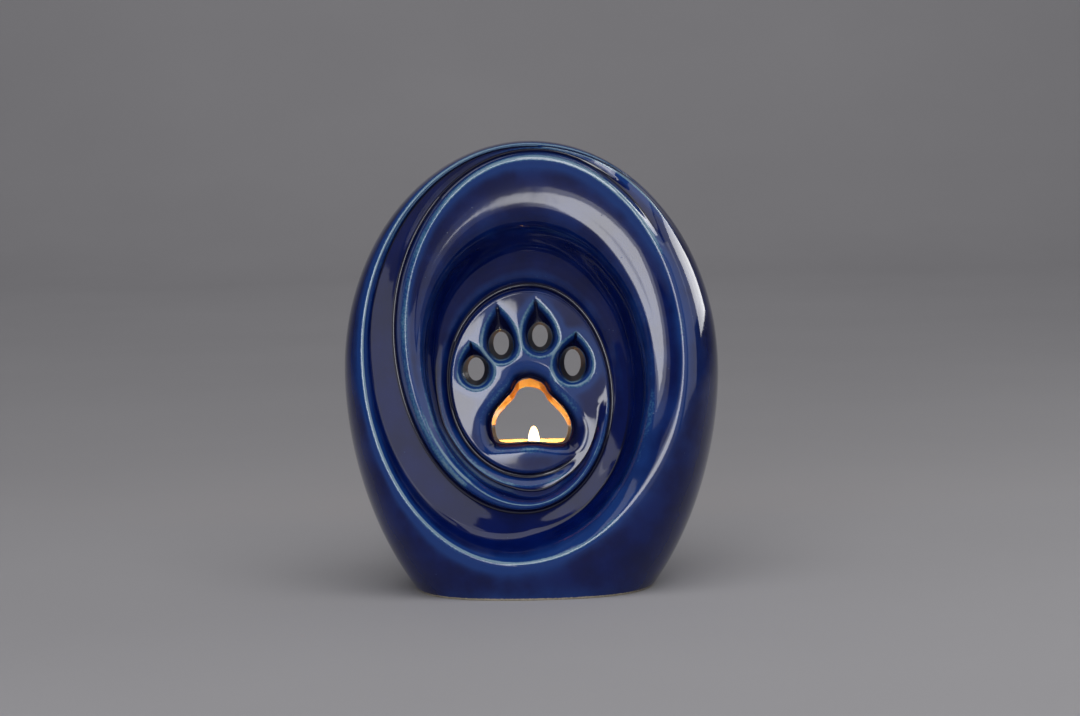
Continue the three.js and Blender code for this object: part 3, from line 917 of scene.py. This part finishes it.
def add_base(skin, foot_loop, chamber):
    """The flat underside, the fill hole and the chamber over it."""
    points, faces, loop = cut_below(chamber, BASE_THICKNESS)
    skin.add(points, faces, bare=1)
    brim = fill_circle(FILL_RADIUS + FILL_ROUND, 0)
    low = fill_circle(FILL_RADIUS, FILL_ROUND)
    high = fill_circle(FILL_RADIUS, BASE_THICKNESS)
    rings = bend(brim, fill_circle(FILL_RADIUS, 0), low) + [mix(low, high, f) for f in (0.5, 1)]
    skin.grid(np.stack(rings, 1), closed=True, flip=True, bare=1)
    for outer, hole, z, up in ((foot_loop, brim, 0, False), (loop, high, BASE_THICKNESS, True)):
        outer = outer[:, :2]
        hole = hole[:, :2]
        grid = hex_points(outer.min(0), outer.max(0), COARSE_SPACING)
        grid = grid[inside(outer, grid) & (away_from(outer, grid) > COARSE_CLEAR)]
        grid = grid[~inside(hole, grid) & (away_from(hole, grid) > COARSE_CLEAR)]
        flat, triangles = fill_between(outer, [hole], grid)
        level = np.column_stack([flat, np.full(len(flat), z)])
        skin.add(level, (triangles if up else triangles[:, ::-1]).tolist(), bare=1)


def plate_rim(strip):
    """The plate's rim: the last turn of the ridge, then the end of the strip."""
    return np.concatenate([strip[8 * QUARTER : 12 * QUARTER, ROWS], strip[12 * QUARTER, ROWS:0:-1]])


def make_body():
    """The whole urn as one closed skin."""
    plain = front_points(np.arange(TURNS * QUARTER + 1) / QUARTER, np.linspace(0, 1, ROWS + 1))
    strip = plain.copy()
    strip[8 * QUARTER :] = carve(plain[8 * QUARTER :])
    strip[4 * QUARTER : 8 * QUARTER + 1, ROWS] = strip[8 * QUARTER :, 0]
    outer = Skin()
    outer.grid(strip)
    skin = Skin()
    niche_end = add_back(skin, outer)
    points, faces, foot = cut_below(outer, -FOOT_ROUND)

    def settle(p):
        z = p[:, 2]
        soft = (z + FOOT_ROUND) ** 2 / (4 * FOOT_ROUND)
        return np.column_stack([p[:, :2], np.where(z < FOOT_ROUND, soft, z)])

    points = settle(points)
    rim = plate_rim(strip)
    flat = points[:, [0, 2]]
    front = points[:, 1] < 0.5 * BACK_DEPTH
    # Darker deep in the hollows: pooled glaze with painted shade
    deep = np.where(front, smooth(*DEEP_RANGE, hollow_depth(*flat.T)), 0)
    blue = np.where(front, near_rim(flat, rim[:, [0, 2]]), 0)
    blue = np.maximum(blue, 1 - smooth(*FOOT_BLUE, points[:, 2]))
    lower_ring = ridge(np.linspace(*BLUE_RING, QUARTER))
    gaps = np.min([np.linalg.norm(points - place, axis=1) for place in lower_ring], axis=0)
    blue = np.maximum(blue, RING_BLUE * (1 - smooth(RIM_BLUE, 2 * RIM_BLUE, gaps)))
    skin.add(points, faces, deep=deep, blue=blue)
    add_plate(skin, rim, plate_rim(plain), niche_end)
    add_base(skin, settle(foot), make_chamber())
    return skin


def neighbour_mean(values, edges, count):
    """Each point's mean of its own value and its neighbours'."""
    a, b = edges.T
    total = np.bincount(a, values[b], count) + np.bincount(b, values[a], count)
    number = np.bincount(a, minlength=count) + np.bincount(b, minlength=count)
    return 0.5 * values + 0.5 * total / np.maximum(number, 1)


def edge_marks(mesh, blue):
    """How sharply the surface turns outwards at each point, close by and widely, and how far it turns in."""
    count = len(mesh.vertices)
    co = np.empty(count * 3)
    normals = np.empty(count * 3)
    edges = np.empty(len(mesh.edges) * 2, int)
    mesh.vertices.foreach_get("co", co)
    mesh.vertices.foreach_get("normal", normals)
    mesh.edges.foreach_get("vertices", edges)
    co = co.reshape(-1, 3) / METRES
    normals = normals.reshape(-1, 3)
    edges = edges.reshape(-1, 2)
    a, b = edges.T
    along = co[b] - co[a]
    bend_of = ((normals[b] - normals[a]) * along).sum(1) / np.maximum((along**2).sum(1), SHORTEST**2)
    out = np.zeros(count)
    into = np.zeros(count)
    for end in (a, b):
        np.maximum.at(out, end, bend_of)
        np.minimum.at(into, end, bend_of)
    out *= 1 - KEPT_BLUE * blue
    for _ in range(FINE_BLUR):
        out = neighbour_mean(out, edges, count)
        into = neighbour_mean(into, edges, count)
    wide = out
    for _ in range(WIDE_BLUR):
        wide = neighbour_mean(wide, edges, count)
    return {"edge": out, "halo": wide, "pool_and_shade": -into}


def make_piece(name, skin):
    """A smooth piece from a skin, and the marks of its points."""
    points, marks, faces = skin.weld()
    mesh = bpy.data.meshes.new(name)
    mesh.from_pydata((points * METRES).tolist(), [], faces)
    mesh.polygons.foreach_set("use_smooth", [True] * len(mesh.polygons))
    piece = bpy.data.objects.new(name, mesh)
    bpy.context.collection.objects.link(piece)
    return piece, dict(zip(MARKS, marks.T))


def keep_marks(mesh, marks):
    """Stores the marks that the glaze reads, with those of the mesh's own edges."""
    marks |= edge_marks(mesh, marks.pop("blue"))
    for mark, values in marks.items():
        layer = mesh.attributes.new(mark, "FLOAT", "POINT")
        layer.data.foreach_set("value", values.astype(np.float32))


# Materials


class Nodes:
    """A material whose nodes are added by short calls."""

    def __init__(self, name):
        self.material = bpy.data.materials.new(name)
        self.material.use_nodes = True
        self.tree = self.material.node_tree
        self.shader = self.tree.nodes["Principled BSDF"]

    def put(self, kind, **settings):
        node = self.tree.nodes.new("ShaderNode" + kind)
        for key, value in settings.items():
            setattr(node, key, value)
        return node

    def feed(self, socket, value):
        if isinstance(value, bpy.types.NodeSocket):
            self.tree.links.new(value, socket)
        else:
            socket.default_value = value

    def place(self):
        return self.put("TexCoord").outputs["Object"]

    def height(self):
        node = self.put("SeparateXYZ")
        self.feed(node.inputs[0], self.place())
        return node.outputs["Z"]

    def mark(self, name):
        return self.put("Attribute", attribute_name=name).outputs["Fac"]

    def noise(self, scale, detail=3.0, rough=0.5, warp=0.0):
        node = self.put("TexNoise")
        self.feed(node.inputs["Vector"], self.place())
        for name, value in (("Scale", scale), ("Detail", detail), ("Roughness", rough), ("Distortion", warp)):
            self.feed(node.inputs[name], value)
        return node.outputs["Fac"]

    def dots(self, scale):
        node = self.put("TexVoronoi")
        self.feed(node.inputs["Vector"], self.place())
        self.feed(node.inputs["Scale"], scale)
        return node.outputs["Distance"]

    def sum(self, operation, a, b=0.0, c=0.0, clamp=False):
        node = self.put("Math", operation=operation, use_clamp=clamp)
        for socket, value in zip(node.inputs, (a, b, c)):
            self.feed(socket, value)
        return node.outputs[0]

    def range(self, value, low, high, to_low=0.0, to_high=1.0):
        node = self.put("MapRange", interpolation_type="SMOOTHSTEP")
        for socket, number in zip(node.inputs, (value, low, high, to_low, to_high)):
            self.feed(socket, number)
        return node.outputs[0]

    def blend(self, share, a, b):
        node = self.put("Mix", data_type="RGBA")
        self.feed(node.inputs["Factor"], share)
        for name, value in (("A", a), ("B", b)):
            socket = next(s for s in node.inputs if s.name == name and s.type == "RGBA")
            self.feed(socket, (*value, 1) if isinstance(value, tuple) else value)
        return next(s for s in node.outputs if s.type == "RGBA")

    def bump(self, height, strength, distance):
        node = self.put("Bump")
        for name, value in (("Height", height), ("Strength", strength), ("Distance", distance)):
            self.feed(node.inputs[name], value)
        self.feed(self.shader.inputs["Normal"], node.outputs["Normal"])

    def set(self, **sockets):
        for name, value in sockets.items():
            socket = self.shader.inputs[name.replace("_", " ")]
            colour = socket.type == "RGBA" and isinstance(value, tuple)
            self.feed(socket, (*value, 1) if colour else value)
        return self.material


def glaze_material():
    """Cobalt glaze, deep where it pools with painted shade in creases and hollows, royal blue beside the
    edges and breaking to pale aqua on them with a painted highlight; painted shade on the walls of the holes
    and painted candlelight on the pad's wall.
    """
    n = Nodes("cobalt_glaze")
    mottle = n.noise(60, detail=4)
    grain = n.noise(900, detail=2)
    edge = n.mark("edge")
    edge = n.sum("ADD", edge, n.range(grain, 0.3, 0.7, -EDGE_GRAIN, EDGE_GRAIN))
    edge = n.sum("ADD", edge, n.range(mottle, 0.3, 0.7, -EDGE_MOTTLE, EDGE_MOTTLE))
    halo = n.sum("ADD", n.mark("halo"), n.range(mottle, 0.3, 0.7, -0.015, 0.015))
    pool_and_shade = n.mark("pool_and_shade")
    colour = n.blend(n.range(mottle, 0.25, 0.75), DEEP_BLUE, BODY_BLUE)
    colour = n.blend(n.range(halo, *HALO_RANGE), colour, ROYAL_BLUE)
    colour = n.blend(n.range(edge, *TEAL_RANGE), colour, TEAL)
    # Pale aqua on the sharpest edges: glaze breaking, with a painted highlight
    colour = n.blend(n.range(edge, *PALE_RANGE), colour, PALE_AQUA_AND_HIGHLIGHT)
    # Dark in creases and deep in hollows: pooled glaze with painted shade
    pool_and_shade = n.sum("MAXIMUM", n.range(pool_and_shade, *POOL_AND_SHADE_RANGE), n.mark("deep"))
    colour = n.blend(pool_and_shade, colour, POOL_AND_SHADE_BLUE)
    specks = n.range(n.dots(260), 0.06, 0.1, 1, 0)
    rare = n.range(n.noise(140, detail=1), 0.6, 0.68)
    colour = n.blend(n.sum("MULTIPLY", n.sum("MULTIPLY", specks, rare), 0.5), colour, SPECK_BLUE)
    patchy = n.range(n.noise(220), 0.3, 0.7, -0.2, 0.2)
    # Painted shade on the walls of the holes
    dull = n.range(n.sum("ADD", n.mark("dull"), patchy), 0.35, 0.65)
    colour = n.blend(dull, colour, n.blend(mottle, HOLE_SHADE_DARK, HOLE_SHADE_PALE))
    # Painted candlelight on the clay up the wall of the pad's hole
    warm = n.range(n.sum("ADD", n.mark("warm"), patchy), 0.35, 0.65)
    colour = n.blend(warm, colour, n.blend(mottle, CANDLELIT_CLAY_DARK, CANDLELIT_CLAY_PALE))
    foot = n.range(n.height(), FOOT_CLAY[0] * METRES, FOOT_CLAY[1] * METRES, 1, 0)
    bare = n.sum("MAXIMUM", n.mark("bare"), foot)
    bare = n.range(n.sum("ADD", bare, n.range(grain, 0.3, 0.7, -0.2, 0.2)), 0.4, 0.6)
    colour = n.blend(bare, colour, n.blend(n.range(grain, 0.3, 0.7), CLAY_DARK, CLAY_PALE))
    gloss = n.range(n.noise(35, detail=2), 0.3, 0.7, 0.045, 0.085)
    gloss = n.sum("ADD", gloss, n.sum("MULTIPLY", dull, 0.3))
    gloss = n.sum("ADD", gloss, n.sum("MULTIPLY", bare, 0.6), clamp=True)
    peel = n.noise(110, detail=2)
    pits = n.sum("MULTIPLY", n.sum("MULTIPLY", specks, rare), -0.6)
    n.bump(n.sum("ADD", n.sum("MULTIPLY", peel, 0.5), pits), 0.25, 0.00025)
    return n.set(Base_Color=colour, Roughness=gloss, IOR=1.47)


def foil_material():
    n = Nodes("tealight_foil")
    crinkle = n.noise(300, detail=4)
    colour = n.blend(crinkle, (0.72, 0.72, 0.73), (0.86, 0.86, 0.87))
    n.bump(crinkle, 0.35, 0.0003)
    return n.set(Base_Color=colour, Roughness=n.range(crinkle, 0.3, 0.7, 0.18, 0.38), Metallic=1.0)


def wax_material():
    n = Nodes("candle_wax")
    cloud = n.noise(90, detail=3)
    colour = n.blend(cloud, (0.83, 0.74, 0.56), (0.92, 0.86, 0.72))
    n.bump(n.noise(250), 0.2, 0.0003)
    wax = n.set(Base_Color=colour, Roughness=n.range(cloud, 0.3, 0.7, 0.25, 0.5), Subsurface_Weight=0.4)
    n.set(Subsurface_Radius=(0.006, 0.004, 0.002), Subsurface_Scale=1.0)
    return wax


def wick_material():
    n = Nodes("charred_wick")
    char = n.noise(1500, detail=4)
    n.bump(char, 0.8, 0.0003)
    return n.set(Base_Color=n.blend(char, (0.01, 0.008, 0.007), (0.09, 0.06, 0.04)), Roughness=0.9)


def flame_material():
    """Light that is white in the middle of the flame, and amber towards its tip and its foot."""
    n = Nodes("flame_light")
    up = n.range(n.height(), FLAME_FOOT * METRES, FLAME_TIP * METRES)
    core = n.blend(n.range(up, 0.0, 0.35), (1.0, 0.42, 0.12), (1.0, 0.86, 0.6))
    core = n.blend(n.range(up, 0.55, 1.0), core, (1.0, 0.62, 0.22))
    return n.set(Base_Color=core, Emission_Color=core, Emission_Strength=FLAME_STRENGTH, Roughness=1.0)


def floor_material():
    n = Nodes("floor")
    soft = n.noise(3, detail=4)
    return n.set(Base_Color=n.blend(soft, FLOOR_DARK, FLOOR_PALE), Roughness=0.9, Specular_IOR_Level=0.2)


# Pieces


body, body_marks = make_piece("glazed_body", make_body())
body.data.set_sharp_from_angle(angle=math.radians(SHARP_ANGLE))
keep_marks(body.data, body_marks)
body.data.materials.append(glaze_material())
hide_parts("urn_body")
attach(body, "root")

for node, material in (
    ("tealight_cup", foil_material()),
    ("tealight_wax", wax_material()),
    ("tealight_wick", wick_material()),
):
    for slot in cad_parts[node].material_slots:
        slot.material = material


def flame_skin():
    """A drop of light on the wick, widest low down."""
    turn = np.linspace(0, math.pi, FLAME_ROWS)[None, :]
    angle = np.linspace(0, 2 * math.pi, FLAME_SIDES, endpoint=False)[:, None]
    radius = FLAME_WIDTH / 2 * np.sin(turn)
    reach = np.where(turn < math.pi / 2, FLAME_WIDEST - FLAME_FOOT, FLAME_TIP - FLAME_WIDEST)
    z = FLAME_WIDEST - reach * np.cos(turn) + 0 * angle
    x = FLAME_X + radius * np.cos(angle)
    y = FLAME_Y + radius * np.sin(angle)
    skin = Skin()
    skin.grid(np.stack([x, y, z], -1), closed=True)
    return skin


flame, _ = make_piece("flame", flame_skin())
flame.data.materials.append(flame_material())
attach(flame, "root")


# Stage, lights and camera


def make_floor():
    """A pale floor that sweeps up far behind the urn."""
    bm = bmesh.new()
    section = [(-FLOOR_REACH, 0), (FLOOR_BACK, 0)]
    for i in range(1, SWEEP_STEPS + 1):
        angle = math.pi / 2 * i / SWEEP_STEPS
        section.append((FLOOR_BACK + SWEEP * math.sin(angle), SWEEP * (1 - math.cos(angle))))
    section.append((FLOOR_BACK + SWEEP, SWEEP + BACKDROP_HEIGHT))
    rows = [[bm.verts.new((side * FLOOR_REACH, y, z)) for side in (-1, 1)] for y, z in section]
    for low, high in zip(rows, rows[1:]):
        bm.faces.new([low[0], low[1], high[1], high[0]]).smooth = True
    mesh = bpy.data.meshes.new("floor")
    bm.to_mesh(mesh)
    bm.free()
    piece = bpy.data.objects.new("floor", mesh)
    bpy.context.collection.objects.link(piece)
    piece.data.materials.append(floor_material())
    return piece


make_floor()


def soft_box(name, place, target, width, height, watts, use):
    data = bpy.data.lights.new(name, "AREA")
    data.shape = "RECTANGLE"
    data.size = width
    data.size_y = height
    data.energy = watts
    light = bpy.data.objects.new(name, data)
    light.visible_diffuse = use != "shines"
    light.visible_glossy = use != "lights"
    light.visible_camera = False
    light.location = place
    light.rotation_euler = (Vector(target) - Vector(place)).to_track_quat("-Z", "Y").to_euler()
    bpy.context.collection.objects.link(light)


for lamp in SOFT_BOXES:
    soft_box(*lamp)

glow = bpy.data.lights.new("candle_glow", "POINT")
glow.energy = GLOW_WATTS
glow.color = GLOW_COLOUR
glow.shadow_soft_size = GLOW_RADIUS * METRES
glow_place = bpy.data.objects.new("candle_glow", glow)
glow_place.visible_glossy = False
glow_place.location = np.array([FLAME_X, FLAME_Y, GLOW_HEIGHT]) * METRES
bpy.context.collection.objects.link(glow_place)

world = bpy.data.worlds.new("studio")
world.use_nodes = True
world.node_tree.nodes["Background"].inputs["Color"].default_value = (*WORLD_COLOUR, 1)
world.node_tree.nodes["Background"].inputs["Strength"].default_value = WORLD_STRENGTH
bpy.context.scene.world = world
bpy.context.scene.view_settings.view_transform = "Standard"

camera_data = bpy.data.cameras.new("camera")
camera_data.sensor_width = CAMERA_SENSOR
camera_data.lens = CAMERA_LENS
camera = bpy.data.objects.new("camera", camera_data)
tilt = Matrix.Rotation(math.radians(90 - CAMERA_ELEVATION), 4, "X")
roll = Matrix.Rotation(math.radians(-CAMERA_ROLL), 4, "Z")
elevation = math.radians(CAMERA_ELEVATION)
back = Vector((0, -math.cos(elevation), math.sin(elevation)))
place = (Vector(CAMERA_TARGET) + back * CAMERA_DISTANCE) * METRES
camera.matrix_world = Matrix.Translation(place) @ tilt @ roll
bpy.context.collection.objects.link(camera)
bpy.context.scene.camera = camera
